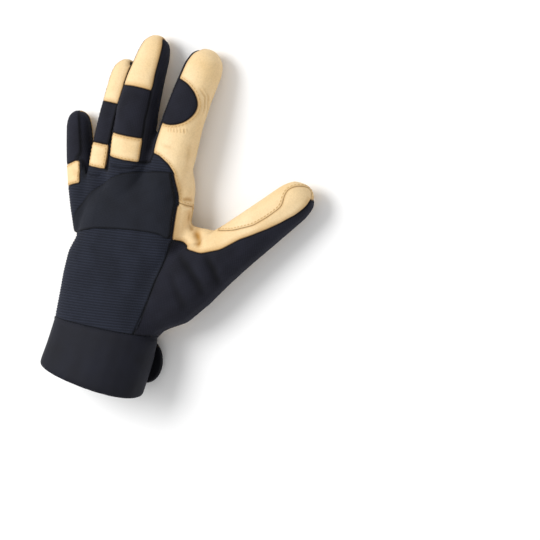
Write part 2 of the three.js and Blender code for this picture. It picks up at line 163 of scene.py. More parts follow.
# The seam gathers the heel of the thumb into the narrower cuff.
heel = np.clip((-0.064 - skin_co[:, 1]) / 0.014, 0, 1) * np.clip((skin_co[:, 1] + 0.082) / 0.003, 0, 1)
out_past = np.maximum(skin_co[:, 0] + 0.006, 0)
skin_co[:, 0] -= heel**2 * (3 - 2 * heel) * out_past * 0.5

skin_edges = edges_of(skin_tri)
rounds = round((ironing / grain_step) ** 2 / 0.33)
ironed = spread(skin_co, skin_edges, rounds)
skin_co = ironed + spread(skin_co - ironed, skin_edges, rounds)
skin_co = skin_co - outward(skin_co, skin_tri) * closing
skin_co[:, 2] = np.maximum(skin_co[:, 2], skin_low)


# The seams and folds. Each pattern piece owns the skin that is nearer to it than to any other piece,
# so two neighbours end on one line. Leather and knit are sewn inside out and turned, so both edges
# roll down into the seam; leather on leather is lapped and topstitched, so it dips much less.
reach = 12 * MM
seam_roll = 1.9 * MM
seam_deep = 0.8 * MM
lapped_deep = 0.4 * MM
most_faces = 170_000
leathers = ["palm_leather", "thumb_leather", "middle_band", "middle_tip", "ring_band", "ring_tip", "little_band"]

trees = {}
for name in sewn:
    co, tri = corners_of(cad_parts[name].data)
    trees[name] = BVHTree.FromPolygons(co.tolist(), tri.tolist())
away = np.full((len(skin_co), len(sewn)), reach)
for k, name in enumerate(sewn):
    low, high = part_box(name)
    inside = np.all((skin_co > np.array(low) - reach) & (skin_co < np.array(high) + reach), axis=1)
    for i in np.flatnonzero(inside):
        found = trees[name].find_nearest(skin_co[i], reach)
        if found[0] is not None:
            away[i, k] = found[3]
away = spread(away, skin_edges, round((2.0 * MM / grain_step) ** 2 / 0.33))

# The wrist seam runs round in one plane, and the little finger's band ends on a straight line.
onto_hand = skin_co[:, 1] - wrist_seam
cuff_at = sewn.index("cuff")
away = np.maximum(away, np.clip(-onto_hand, 0, reach)[:, None])
away[:, cuff_at] = np.clip(onto_hand, 0, reach)
band_end, band_way = np.array([-76.3, 22.6]) * MM, np.array([0.9603, 0.2790])
past_band = (skin_co[:, :2] - band_end) @ band_way
band_at, root_at = sewn.index("little_band"), sewn.index("back_ribbed")
by_band = away[:, band_at] < 6 * MM
off_band = np.maximum(away[:, band_at] - 2 * MM, 0)
away[:, root_at] = np.minimum(away[:, root_at], np.clip(-past_band, 0, reach) + off_band)
corner = np.hypot(skin_co[:, 0] + 0.0790, skin_co[:, 1] - 0.0250) / (3.4 * MM)
away[:, band_at] -= 3 * MM * np.exp(-(corner**2)) * (skin_co[:, 2] > 0.014)
away[:, band_at] = np.where(by_band, np.maximum(away[:, band_at], past_band), away[:, band_at])


def halves(co, tri, values, marked):
    """Splits the marked edges of a mesh in the middle."""
    pairs, number = np.unique(
        np.sort(tri[:, [0, 1, 1, 2, 2, 0]].reshape(-1, 2), axis=1), axis=0, return_inverse=True
    )
    split = marked[pairs].all(axis=1)
    new = np.full(len(pairs), -1)
    new[split] = len(co) + np.arange(split.sum())
    ends = pairs[split]
    co = np.concatenate([co, co[ends].mean(axis=1)])
    values = np.concatenate([values, values[ends].mean(axis=1)])
    mid = new[number.reshape(-1, 3)]
    many = (mid >= 0).sum(axis=1)
    out = [tri[many == 0]]
    t, m = tri[many == 3], mid[many == 3]
    for turn in range(3):
        out.append(np.stack([t[:, turn], m[:, turn], m[:, turn - 1]], 1))
    out.append(m)
    for count in (1, 2):
        t, m = tri[many == count], mid[many == count]
        lone = np.argmax((m >= 0) == (count == 1), axis=1)
        rows = np.arange(len(t))
        a, b, c = (t[rows, (lone + j) % 3] for j in range(3))
        ab, bc, ca = (m[rows, (lone + j) % 3] for j in range(3))
        if count == 1:
            out += [np.stack([a, ab, c], 1), np.stack([ab, b, c], 1)]
        else:
            out += [np.stack([a, b, bc], 1), np.stack([a, bc, ca], 1), np.stack([ca, bc, c], 1)]
    return co, np.concatenate(out), values


# Folds as (points in mm, depth, half width): a negative depth is a ridge.
thumb_folds = [
    ([(8, -14, 25.5), (12.5, -18.5, 30.5), (16.9, -22, 33.3), (25.2, -29, 34.5), (31.1, -35.9, 32.7),
      (34.6, -41.9, 29.2), (37, -47, 22)], 1.7, 3.3),
    ([(30, -11, 32.5), (35.2, -17.8, 33.2), (40.6, -24.7, 31.7), (43.3, -32.4, 27.7), (45, -38, 21)], 1.5, 3.0),
    ([(8.5, -28, 33.5), (10.8, -33.2, 34.9), (17.6, -45, 34.3), (22.7, -54.3, 29.9), (25, -59, 23)], 0.8, 3.2),
]
web_folds = [
    ([(14, 1, 14), (15, -0.2, 16.1), (17, -2.5, 18.5), (19.3, -4.7, 21.6), (24.3, -9, 28.7), (28.7, -13.6, 32.6)], 1.9, 2.6),
    ([(4.5, 17.2, 26.5), (7.1, 17.4, 23.4), (8.5, 17.6, 21), (9.1, 17.3, 18.6), (9.5, 16.6, 14)], 0.8, 1.3),
    ([(8.4, 12.5, 21), (9.2, 9, 20.5)], -0.9, 3.0),
    ([(9.7, 11, 19), (10.6, 5, 18), (12.6, 0.5, 17.8), (15.5, -5, 22)], 0.9, 1.8),
    ([(26.5, -2.2, 19.8), (31, -2.5, 21.5), (38, 0, 24)], 0.8, 1.6),
    ([(27, -7, 27), (33, -8.5, 29.5), (41, -6, 30)], -0.7, 3.0),
]
index_folds = [
    ([(3.5, 95.5, 29), (6.7, 93.3, 26.4), (10.0, 88.4, 23.8), (10.2, 79.4, 22.5), (9.0, 73.1, 24)], 0.5, 0.8),
    ([(6, 96.5, 26.8), (8, 94.8, 24.9), (11, 88.5, 21.1), (10.8, 78.7, 18.6), (10.1, 71.1, 20.5)], 0.5, 0.9),
    ([(11.2, 86, 18), (11.1, 76, 16), (10.6, 68, 17.5)], 0.35, 0.9),
    ([(-15, 52, 30), (-9, 51, 33), (-2, 50.5, 33)], 0.35, 1.2),
    ([(5, 58, 28.5), (6.5, 48, 27), (7, 38, 26.5), (6.5, 28, 26)], 0.3, 1.5),
]
index_folds += [
    ([(-11.5 + 2.2 * i, 64.4 + 0.25 * i, 33.2 - 0.045 * i * i), (-10.8 + 2.35 * i, 60.4 + 0.2 * i, 33.4 - 0.055 * i * i)], 0.4, 0.6)
    for i in range(8)
]
root_rolls = [
    ([(-50.5, 36.5, 31.5), (-49.1, 33.5, 32), (-46.6, 31, 33), (-39.2, 30.6, 34.3), (-31.7, 31.8, 32.9), (-28, 33.8, 30.1), (-26.8, 38.2, 29.5)], 1.0, 0.9),
    ([(-70.5, 24.5, 22), (-69.5, 22.2, 23.5), (-65, 20.8, 25.5), (-59, 21.4, 26.5), (-56, 25, 26)], 0.8, 0.9),
    ([(-44, 27.5, 34), (-38, 26.3, 35), (-30, 27.5, 33)], -0.4, 2.0),
]
palm_folds = [
    ([(-84, 6, 6), (-70, 4, 0), (-50, 8, 0), (-30, 16, 0), (-12, 22, 2)], 0.7, 1.3),
    ([(5, 8, 4), (-8, 4, 0), (-22, -12, 0), (-28, -32, 0), (-30, -52, 1)], 0.7, 1.5),
    ([(-60, -6, 0), (-40, -8, 0), (-24, -2, 0)], 0.5, 1.3),
]
folds = thumb_folds + web_folds + index_folds + root_rolls + palm_folds


def from_line(points, line):
    """How far points are from a line in space, and how near its two ends, 0 to 1, they are along it."""
    best, where = np.full(len(points), np.inf), np.zeros(len(points))
    steps = np.linalg.norm(np.diff(line, axis=0), axis=1)
    was = np.concatenate([[0], np.cumsum(steps)]) / steps.sum()
    for k, (a, b) in enumerate(zip(line[:-1], line[1:])):
        t = np.clip((points - a) @ (b - a) / ((b - a) @ (b - a)), 0, 1)
        far = np.linalg.norm(points - a - t[:, None] * (b - a), axis=1)
        where = np.where(far < best, was[k] + t * (was[k + 1] - was[k]), where)
        best = np.minimum(best, far)
    return best, where


def folded(points, out):
    """The height that the folds give to points, and how deep in a fold they lie, 0 to 1."""
    height, deep = np.zeros(len(points)), np.zeros(len(points))
    for line, depth, width in folds:
        line, depth, width = np.array(line, float) * MM, depth * MM, width * MM
        rough = np.flatnonzero(
            np.all((points > line.min(0) - 5 * width) & (points < line.max(0) + 5 * width), axis=1)
        )
        far, where = from_line(points[rough], line)
        end = np.clip(np.minimum(where, 1 - where) / 0.35, 0, 1)
        end = end * end * (3 - 2 * end)
        dip = np.exp(-((far / width) ** 2)) * end
        height[rough] -= depth * dip
        if depth > 0:
            height[rough] += 0.25 * depth * np.exp(-(((far - 2.4 * width) / (1.3 * width)) ** 2)) * end
            deep[rough] = np.maximum(deep[rough], dip * min(1.0, depth / (1.2 * MM)))
    return height, deep


ribbed = away[:, sewn.index("back_ribbed")] < 1.2 * MM
by_inset = away[:, sewn.index("index_inset")] < 7.5 * MM
by_rim = np.abs((skin_co - np.array(rim_at)) @ np.array(rim_way)) < 4 * MM
two = np.sort(away, axis=1)[:, :2]
close_to_seam = two[:, 1] - two[:, 0] < 3 * MM
_, deep = folded(skin_co, None)
skin_co, skin_tri, away = halves(skin_co, skin_tri, away, ribbed | close_to_seam | by_inset | by_rim | (deep > 0.25))
skin_out = outward(skin_co, skin_tri)
height, fold_deep = folded(skin_co, skin_out)
skin_co = skin_co + skin_out * height[:, None]
skin_out = spread(outward(skin_co, skin_tri), edges_of(skin_tri), 2)
skin_out /= np.linalg.norm(skin_out, axis=1)[:, None]
plain_co = skin_co.copy()
order = np.argsort(away, axis=1)[:, :2]
two = np.take_along_axis(away, order, axis=1)
to_seam = two[:, 1] - two[:, 0]
is_leather = np.isin(np.array(sewn), leathers)
lapped = is_leather[order].all(axis=1)
edge = np.clip(1 - to_seam / np.where(lapped, 1.2 * MM, seam_roll), 0, 1)
seam_dip = np.where(lapped, lapped_deep, seam_deep) * (1 - np.sqrt(1 - edge**2))
skin_co = skin_co - skin_out * seam_dip[:, None]


def walled(piece, inner):
    """Closes an open layer with a second one through the inner points and a wall round the edge."""
    name = piece.name
    co, tri = corners_of(piece.data)
    n = len(co)
    sides = np.concatenate([tri[:, [0, 1]], tri[:, [1, 2]], tri[:, [2, 0]]])
    _, number, counts = np.unique(np.sort(sides, axis=1), axis=0, return_inverse=True, return_counts=True)
    a, b = sides[counts[number.ravel()] == 1].T
    wall = np.concatenate([np.stack([b, a, a + n], 1), np.stack([b, a + n, b + n], 1)])
    marks = {}
    for key in ("seam", "fold"):
        values = np.empty(n, np.float32)
        piece.data.attributes[key].data.foreach_get("value", values)
        marks[key] = np.tile(values, 2)
    bpy.data.objects.remove(piece)
    piece = cloth(name, np.concatenate([co, inner]), np.concatenate([tri, tri[:, ::-1] + n, wall]))
    for key, values in marks.items():
        mark = piece.data.attributes.new(key, "FLOAT", "POINT")
        mark.data.foreach_set("value", values)
    pick(piece)
    bpy.ops.object.shade_smooth_by_angle(angle=math.radians(50))
    return piece


def cut_out(name, side, level=0.07 * MM, lining=1.2 * MM, co=None):
    """The part of the skin where side is above level, as a closed layer with a wall inwards."""
    co = skin_co if co is None else co
    above = side > level
    count = above[skin_tri].sum(axis=1)
    t = skin_tri[(count == 1) | (count == 2)]
    lone = np.argmax(above[t] == (above[t].sum(axis=1) == 1)[:, None], axis=1)
    rows = np.arange(len(t))
    a, b, c = (t[rows, (lone + j) % 3] for j in range(3))
    pairs, number = np.unique(
        np.sort(np.concatenate([np.stack([a, b], 1), np.stack([a, c], 1)]), axis=1),
        axis=0,
        return_inverse=True,
    )
    p, q = pairs.T
    share = ((level - side[p]) / (side[q] - side[p]))[:, None]
    points = np.concatenate([co, co[p] + (co[q] - co[p]) * share])
    # The seam and fold marks tell the materials where to paint shade: near a seam and deep in a fold. At a lapped
    # leather seam the painted seam shade is narrower.
    painted_shade_input = to_seam * np.where(lapped, 2.6, 1.0)
    seam = np.concatenate([painted_shade_input, painted_shade_input[p] + (painted_shade_input[q] - painted_shade_input[p]) * share[:, 0]])
    fold = np.concatenate([fold_deep, fold_deep[p]])
    ways = np.concatenate([skin_out, skin_out[p] + (skin_out[q] - skin_out[p]) * share])
    ab, ac = (number.reshape(2, -1) + len(co))
    one = above[a]
    tri = np.concatenate(
        [
            skin_tri[count == 3],
            np.stack([a, ab, ac], 1)[one],
            np.stack([ab, b, c], 1)[~one],
            np.stack([ab, c, ac], 1)[~one],
        ]
    )
    used, again = np.unique(tri, return_inverse=True)
    piece = cloth(name, points[used], again.reshape(-1, 3))
    mark = piece.data.attributes.new("seam", "FLOAT", "POINT")
    mark.data.foreach_set("value", np.clip(seam[used] / reach, 0, 1).astype(np.float32))
    mark = piece.data.attributes.new("fold", "FLOAT", "POINT")
    mark.data.foreach_set("value", fold[used].astype(np.float32))
    mark = piece.data.attributes.new("out", "FLOAT_VECTOR", "POINT")
    mark.data.foreach_set("vector", ways[used].astype(np.float32).ravel())
    pick(piece)
    bpy.ops.object.mode_set(mode="EDIT")
    bpy.ops.mesh.select_all(action="SELECT")
    bpy.ops.mesh.remove_doubles(threshold=0.02 * MM)
    bpy.ops.mesh.dissolve_degenerate(threshold=0.02 * MM)
    bpy.ops.mesh.separate(type="LOOSE")
    bpy.ops.object.mode_set(mode="OBJECT")
    bits = sorted(bpy.context.selected_objects, key=lambda o: -len(o.data.vertices))
    for bit in bits[1:]:
        bpy.data.objects.remove(bit)
    piece = bits[0]
    piece.name = name
    if lining:
        co, _ = corners_of(piece.data)
        way = np.empty(len(co) * 3, np.float32)
        piece.data.attributes["out"].data.foreach_get("vector", way)
        piece = walled(piece, co - way.reshape(-1, 3) * lining)
        if len(piece.data.polygons) > most_faces:
            work(piece, "DECIMATE", ratio=most_faces / len(piece.data.polygons))
    return piece


def ground_of(node):
    k = sewn.index(node)
    others = np.delete(away, k, axis=1).min(axis=1)
    return others - away[:, k]


def put(piece, slot, *nodes):
    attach(piece, "root")
    if nodes:
        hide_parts(*nodes)


# Goatskin: grain leather, drum dyed cream and left unsealed. A fine pebble of raised grain, soft
# low gloss, with painted shade, darker and more yellow, along its seams and in its folds.
def linear(text):
    values = [int(text[i : i + 2], 16) / 255 for i in (1, 3, 5)]
    return [v / 12.92 if v <= 0.04045 else ((v + 0.055) / 1.055) ** 2.4 for v in values] + [1.0]


def add(tree, kind, links=(), **settings):
    """Adds a node: links are (its socket, another node, that node's socket), or (its socket, value)."""
    node = tree.nodes.new("ShaderNode" + kind)
    for key, value in settings.items():
        setattr(node, key, value)
    for link in links:
        if len(link) == 2:
            node.inputs[link[0]].default_value = link[1]
        else:
            tree.links.new(link[1].outputs[link[2]], node.inputs[link[0]])
    return node


def material(name, roughness, sheen=0.0, sheen_tint="#ffffff", specular=0.5):
    made = bpy.data.materials.new(name)
    made.use_nodes = True
    tree = made.node_tree
    shader = next(n for n in tree.nodes if n.type == "BSDF_PRINCIPLED")
    shader.inputs["Roughness"].default_value = roughness
    shader.inputs["Sheen Weight"].default_value = sheen
    shader.inputs["Sheen Roughness"].default_value = 0.5
    shader.inputs["Sheen Tint"].default_value = linear(sheen_tint)
    shader.inputs["Specular IOR Level"].default_value = specular
    return made, tree, shader


def goatskin(name, light, middle, deep):
    made, tree, shader = material(name, 0.62, sheen=0.12, sheen_tint="#fff0cf", specular=0.35)
    place = add(tree, "TexCoord")
    cloudy = add(tree, "TexNoise", [("Vector", place, "Object"), ("Scale", 38.0), ("Detail", 4.0)])
    tone = add(tree, "ValToRGB", [("Fac", cloudy, "Fac")])
    tone.color_ramp.elements[0].position = 0.32
    tone.color_ramp.elements[0].color = linear(middle)
    tone.color_ramp.elements[1].position = 0.68
    tone.color_ramp.elements[1].color = linear(light)
    # Painted shade: along a seam and in a fold the skin is painted darker and ochre, and the last
    # half millimetre before the thread is painted dark brown.
    seam = add(tree, "Attribute", attribute_name="seam")
    near = add(
        tree,
        "MapRange",
        [("Value", seam, "Fac"), ("From Min", 0.03), ("From Max", 0.3), ("To Min", 0.55), ("To Max", 0.0)],
    )
    fold = add(tree, "Attribute", attribute_name="fold")
    painted_shade_input = add(tree, "Math", [(0, fold, "Fac"), (1, near, "Result")], operation="MAXIMUM")
    shade = add(
        tree,
        "Mix",
        [("Factor", painted_shade_input, "Value"), (6, tone, "Color"), (7, linear(deep))],
        data_type="RGBA",
    )
    line = add(
        tree,
        "MapRange",
        [("Value", seam, "Fac"), ("From Min", 0.012), ("From Max", 0.06), ("To Min", 0.9), ("To Max", 0.0)],
    )
    shade = add(
        tree,
        "Mix",
        [("Factor", line, "Result"), (6, shade, 2), (7, linear("#6b4a22"))],
        data_type="RGBA",
    )
    # Goat grain has about one pebble to the millimetre.
    pebble = add(tree, "TexVoronoi", [("Vector", place, "Object"), ("Scale", 950.0)], feature="SMOOTH_F1")
    pore = add(tree, "TexNoise", [("Vector", place, "Object"), ("Scale", 2200.0), ("Detail", 3.0)])
    both = add(tree, "Math", [(0, pebble, "Distance"), (1, pore, "Fac")], operation="ADD")
    fleck = add(
        tree,
        "MapRange",
        [("Value", both, "Value"), ("From Min", 0.6), ("From Max", 1.25), ("To Min", 1.03), ("To Max", 0.93)],
    )
    grained = add(tree, "VectorMath", [(0, shade, 2), (1, fleck, "Result")], operation="MULTIPLY")
    tree.links.new(grained.outputs["Vector"], shader.inputs["Base Color"])
    bump = add(
        tree,
        "Bump",
        [("Height", both, "Value"), ("Strength", 0.5), ("Distance", 0.00018)],
        invert=True,
    )
    tree.links.new(bump.outputs["Normal"], shader.inputs["Normal"])
    return made


leather = goatskin("cream_goatskin", "#e9cfa3", "#dfbf8c", "#a97a30")

palm = cut_out("palm_panel", ground_of("palm_leather"))
palm.data.materials.append(leather)
put(palm, "leather", "palm_leather")

thumb_patch = cut_out("thumb_patch", ground_of("thumb_leather"))
thumb_patch.data.materials.append(leather)
put(thumb_patch, "leather", "thumb_leather")

for finger, pieces in {"middle": ("band", "tip"), "ring": ("band", "tip"), "little": ("band",)}.items():
    for part in pieces:
        node = f"{finger}_{part}"
        piece = cut_out(f"{node}_panel", ground_of(node))
        piece.data.materials.append(leather)
        put(piece, "leather", node)


# Topstitching: a row of waxed polyester thread beside each sewn leather edge, 2.6 mm to the stitch,
# sunk a little into the skin.
stitch_pitch = 2.6 * MM
stitch_long = 1.9 * MM
thread = 0.5 * MM


def rows_beside(side, level, allowed):
    """Chains of points on the skin where side is at a level, kept where allowed."""
    above = side > level
    count = above[skin_tri].sum(axis=1)
    t = skin_tri[((count == 1) | (count == 2)) & allowed[skin_tri].all(axis=1)]
    lone = np.argmax(above[t] == (above[t].sum(axis=1) == 1)[:, None], axis=1)
    rows = np.arange(len(t))
    a, b, c = (t[rows, (lone + j) % 3] for j in range(3))
    pairs, number = np.unique(
        np.sort(np.concatenate([np.stack([a, b], 1), np.stack([a, c], 1)]), axis=1),
        axis=0,
        return_inverse=True,
    )
    p, q = pairs.T
    share = ((level - side[p]) / (side[q] - side[p]))[:, None]
    spots = skin_co[p] + (skin_co[q] - skin_co[p]) * share
    ways = skin_out[p] + (skin_out[q] - skin_out[p]) * share
    joined = {}
    for i, j in number.reshape(2, -1).T:
        joined.setdefault(i, []).append(j)
        joined.setdefault(j, []).append(i)
    left = set(joined)
    chains = []
    for first in sorted(joined, key=lambda i: len(joined[i])):
        if first not in left:
            continue
        chain = [first]
        left.discard(first)
        while True:
            following = [j for j in joined[chain[-1]] if j in left]
            if not following:
                break
            chain.append(following[0])
            left.discard(following[0])
        if len(chain) > 8:
            chains.append((spots[chain], ways[chain]))
    return chains


def stitch_row(name, chains, colour, *nodes):
    points, faces = [], []
    for spots, ways in chains:
        run = np.concatenate([[0], np.cumsum(np.linalg.norm(np.diff(spots, axis=0), axis=1))])
        for middle in np.arange(stitch_pitch * 0.6, run[-1] - stitch_pitch * 0.5, stitch_pitch):
            at = [np.array([np.interp(middle + d, run, spots[:, k]) for k in range(3)]) for d in (-0.5 * stitch_long, 0, 0.5 * stitch_long)]
            out = np.array([np.interp(middle, run, ways[:, k]) for k in range(3)])
            out /= np.linalg.norm(out)
            way = at[2] - at[0]
            if np.linalg.norm(way) < 0.5 * stitch_long:
                continue
            way /= np.linalg.norm(way)
            across = np.cross(out, way)
            start = len(points)
            for step, wide, lift in ((-0.5, 0.35, -0.1), (-0.32, 0.9, 0.12), (0, 1, 0.22), (0.32, 0.9, 0.12), (0.5, 0.35, -0.1)):
                for k in range(6):
                    turn = math.pi * k / 3
                    points.append(
                        at[1] + way * step * stitch_long
                        + across * (math.cos(turn) * thread * wide / 2)
                        + out * (math.sin(turn) * thread * wide / 2 + lift * thread)
                    )
            for ring in range(4):
                for k in range(6):
                    i, j = start + ring * 6 + k, start + ring * 6 + (k + 1) % 6
                    faces.append((i, j, j + 6, i + 6))
            faces.append(tuple(start + k for k in reversed(range(6))))
            faces.append(tuple(start + 24 + k for k in range(6)))
    mesh = bpy.data.meshes.new(name)
    mesh.from_pydata([tuple(p) for p in points], [], faces)
    piece = bpy.data.objects.new(name, mesh)
    bpy.context.scene.collection.objects.link(piece)
    pick(piece)
    bpy.ops.object.mode_set(mode="EDIT")
    bpy.ops.mesh.select_all(action="SELECT")
    bpy.ops.mesh.normals_make_consistent(inside=False)
    bpy.ops.object.mode_set(mode="OBJECT")
    bpy.ops.object.shade_smooth_by_angle(angle=math.radians(60))
    piece.data.materials.append(colour)
    return piece


def waxed_thread(name, light, dark):
    made, tree, shader = material(name, 0.5, specular=0.4)
    place = add(tree, "TexCoord")
    ply = add(tree, "TexNoise", [("Vector", place, "Object"), ("Scale", 1800.0), ("Detail", 2.0)])
    tone = add(tree, "ValToRGB", [("Fac", ply, "Fac")])
    tone.color_ramp.elements[0].color = linear(dark)
    tone.color_ramp.elements[1].color = linear(light)
    tree.links.new(tone.outputs["Color"], shader.inputs["Base Color"])
    return made


tan_thread = waxed_thread("tan_thread", "#e0bd7e", "#a87f42")
black_thread = waxed_thread("black_thread", "#1c1d22", "#0c0c0f")

from_palm = ground_of("palm_leather")
gap_to = {name: away[:, sewn.index(name)] for name in sewn}
beside_inset = (gap_to["index_inset"] < 4 * MM) & (from_palm > 0.3 * MM)
beside_thumb = (gap_to["thumb_leather"] < 4 * MM) & (from_palm > 0.2 * MM) & (skin_out[:, 2] > -0.3)
beside_back = (gap_to["back_ribbed"] < 4 * MM) & (from_palm > 0.2 * MM) & (skin_co[:, 0] > -0.03)
row = rows_beside(from_palm, 1.5 * MM, beside_inset | beside_thumb | (beside_back & (skin_out[:, 2] > 0)))
put(stitch_row("palm_topstitch", row, tan_thread), "leather")
for node in ("middle_band", "ring_band", "little_band"):
    side = ground_of(node)
    row = rows_beside(side, 1.4 * MM, skin_out[:, 2] > -0.2)
    put(stitch_row(f"{node}_topstitch", row, tan_thread), "leather")


# Stretch knit: polyester and elastane in a fine plain knit, piece dyed navy black. Matt, with a
# faint sheen at the edges and a weave of about 0.6 mm that only shows close up.
def knit(name, light, dark, pitch=0.55, rough=0.85, sheen=0.08, ribs=None):
    made, tree, shader = material(name, rough, sheen=sheen, sheen_tint="#8d94b0", specular=0.2)
    place = add(tree, "TexCoord")
    cloudy = add(tree, "TexNoise", [("Vector", place, "Object"), ("Scale", 60.0), ("Detail", 3.0)])
    across = add(
        tree,
        "TexWave",
        [("Vector", place, "Object"), ("Scale", 314.0 / pitch / 2), ("Distortion", 0.6), ("Detail", 1.0)],
        bands_direction="X",
    )
    along = add(
        tree,
        "TexWave",
        [("Vector", place, "Object"), ("Scale", 314.0 / pitch / 2), ("Distortion", 0.6), ("Detail", 1.0)],
        bands_direction="Y",
    )
    loops = add(tree, "Math", [(0, across, "Fac"), (1, along, "Fac")], operation="MULTIPLY")
    level = add(tree, "Math", [(0, loops, "Value"), (1, 0.5), (2, cloudy, "Fac")], operation="MULTIPLY_ADD")
    tone = add(tree, "ValToRGB", [("Fac", level, "Value")])
    tone.color_ramp.elements[0].position = 0.35
    tone.color_ramp.elements[0].color = linear(dark)
    tone.color_ramp.elements[1].position = 0.95
    tone.color_ramp.elements[1].color = linear(light)
    # Seams and folds are darker: painted shade, where little light gets in.
    seam = add(tree, "Attribute", attribute_name="seam")
    near = add(
        tree,
        "MapRange",
        [("Value", seam, "Fac"), ("From Min", 0.02), ("From Max", 0.13), ("To Min", 0.25), ("To Max", 1.0)],
    )
    fold = add(tree, "Attribute", attribute_name="fold")
    inner = add(
        tree,
        "MapRange",
        [("Value", fold, "Fac"), ("From Min", 0.1), ("From Max", 1.0), ("To Min", 1.0), ("To Max", 0.35)],
    )
    shade = add(tree, "Math", [(0, near, "Result"), (1, inner, "Result")], operation="MULTIPLY")
    # Painted shade in the valleys between the ribs, and a faint painted highlight on their tops.
    if ribs:
        rib = add(tree, "Attribute", attribute_name="rib")
        valley = add(
            tree,
            "MapRange",
            [("Value", rib, "Fac"), ("From Min", 0.0), ("From Max", 0.8), ("To Min", 0.55), ("To Max", 1.1)],
        )
        shade = add(tree, "Math", [(0, shade, "Value"), (1, valley, "Result")], operation="MULTIPLY")
    dyed = add(tree, "VectorMath", [(0, tone, "Color"), (1, shade, "Value")], operation="MULTIPLY")
    tree.links.new(dyed.outputs["Vector"], shader.inputs["Base Color"])
    bump = add(tree, "Bump", [("Height", loops, "Value"), ("Strength", 0.45), ("Distance", 0.0002)])
    tree.links.new(bump.outputs["Normal"], shader.inputs["Normal"])
    return made


stretch = knit("navy_stretch_knit", "#1d1e29", "#101018")
for node in ("thumb_back", "middle_back", "ring_back", "little_back", "index_inset"):
    piece = cut_out(f"{node}_panel", ground_of(node))
    piece.data.materials.append(stretch)
    put(piece, "stretch_knit", node)
for node in [n for n in sewn if n.startswith("fourchette")]:
    piece = cut_out(f"{node}_panel", ground_of(node))
    piece.data.materials.append(stretch)
    put(piece, "stretch_knit", node)


# The back of the hand: a ribbed knit, its ribs running across the hand, cut in one with the short
# roots of the fingers and sewn to the bands.
rib_pitch = 1.85 * MM
rib_high = 0.22 * MM
rib_slope = math.radians(5)

# The place of the knuckle pad is a plain opening in the ribs, a little lower than they are.
pad_outline = [(-74, -20), (-63, -16.9), (-50, -12.9), (-27, -9.6), (-6.3, -8.3), (2.9, -9.9), (3.0, 2), (2.0, 16)]
pad_outline += [(-2, 32.2), (-4.5, 34.4), (-20.9, 31.7), (-37.2, 27.4), (-50.1, 19.8), (-63, 9.5), (-69, 0.9), (-74, -7.7)]


def smooth_loop(corners, steps=8):
    p = np.array(corners, float) * MM
    t = (np.arange(steps) / steps)[:, None]
    rows = []
    for i in range(len(p)):
        a, b, c, d = p[i - 1], p[i], p[(i + 1) % len(p)], p[(i + 2) % len(p)]
        rows.append(0.5 * (2 * b + (c - a) * t + (2 * a - 5 * b + 4 * c - d) * t**2 + (3 * b - a - 3 * c + d) * t**3))
    return np.concatenate(rows)


def inside_by(points, loop):
    """How far plan points are inside a closed line, negative outside."""
    a, b = loop, np.roll(loop, -1, axis=0)
    x, y = points[:, :1], points[:, 1:2]
    d = b - a
    t = np.clip(((x - a[:, 0]) * d[:, 0] + (y - a[:, 1]) * d[:, 1]) / (d**2).sum(1), 0, 1)
    far = np.hypot(x - a[:, 0] - t * d[:, 0], y - a[:, 1] - t * d[:, 1]).min(axis=1)
    crossing = (a[:, 1] > y) != (b[:, 1] > y)
    at = a[:, 0] + (y - a[:, 1]) * d[:, 0] / np.where(d[:, 1] == 0, 1e-12, d[:, 1])
    odd = (crossing & (x < at)).sum(axis=1) % 2 == 1
    return np.where(odd, far, -far)


loop = smooth_loop(pad_outline)
pad_side = np.full(len(skin_co), -reach)
near = (skin_co[:, 0] < 0.01) & (np.abs(skin_co[:, 1] - 0.007) < 0.035) & (skin_out[:, 2] > 0.05)
near &= skin_co[:, 2] > 0.018
pad_side[near] = inside_by(plain_co[near, :2], loop)
under_pad = np.clip(0.5 + pad_side / (1.6 * MM), 0, 1)

phase = (skin_co[:, 1] * math.cos(rib_slope) - skin_co[:, 0] * math.sin(rib_slope)) / rib_pitch
fade = np.clip((to_seam - 1.0 * MM) / (1.5 * MM), 0, 1)
ribs = rib_high * np.cos(2 * math.pi * phase) * fade * (1 - under_pad) - 0.7 * MM * under_pad
back = cut_out("back_panel", ground_of("back_ribbed"), co=skin_co + skin_out * ribs[:, None])
# The rib phase, from which the ribbed knit paints shade into the rib valleys and light onto their tops.
mark = back.data.attributes.new("rib", "FLOAT", "POINT")
co, _ = corners_of(back.data)
turns = (co[:, 1] * math.cos(rib_slope) - co[:, 0] * math.sin(rib_slope)) / rib_pitch
mark.data.foreach_set("value", (0.5 + 0.5 * np.cos(2 * math.pi * turns)).astype(np.float32))
ribbed_knit = knit("ribbed_navy_knit", "#232734", "#161923", ribs=True)
back.data.materials.append(ribbed_knit)
put(back, "ribbed_knit", "back_ribbed")


# The knuckle pad: smooth knit over 3 mm foam, cut to a rounded shape, its edge turned under and
# sewn down on the ribbed back.
pad_lip = 1.3 * MM
pad_crown = 1.0 * MM


roll = 1 - np.clip(pad_side / (1.5 * MM), 0, 1)
rise = pad_lip * np.sqrt(1 - roll**2)
t = np.clip(pad_side / (13 * MM), 0, 1)
rise += pad_crown * t * t * (3 - 2 * t)
# Towards the little finger the foam is skived thin, so that it goes round the side of the hand.
rise *= np.clip((plain_co[:, 0] + 0.070) / 0.016, 0, 1)
lower = -0.5 * MM
pad = cut_out("knuckle_cushion", pad_side, level=0, lining=None, co=plain_co + skin_out * rise[:, None])
base = BVHTree.FromPolygons(plain_co.tolist(), skin_tri.tolist())
pad_co, _ = corners_of(pad.data)
bottom = []
for p in pad_co:
    spot, way, _, _ = base.find_nearest(p)
    bottom.append(spot + way * lower)
pad = walled(pad, np.array(bottom))
co, _ = corners_of(pad.data)
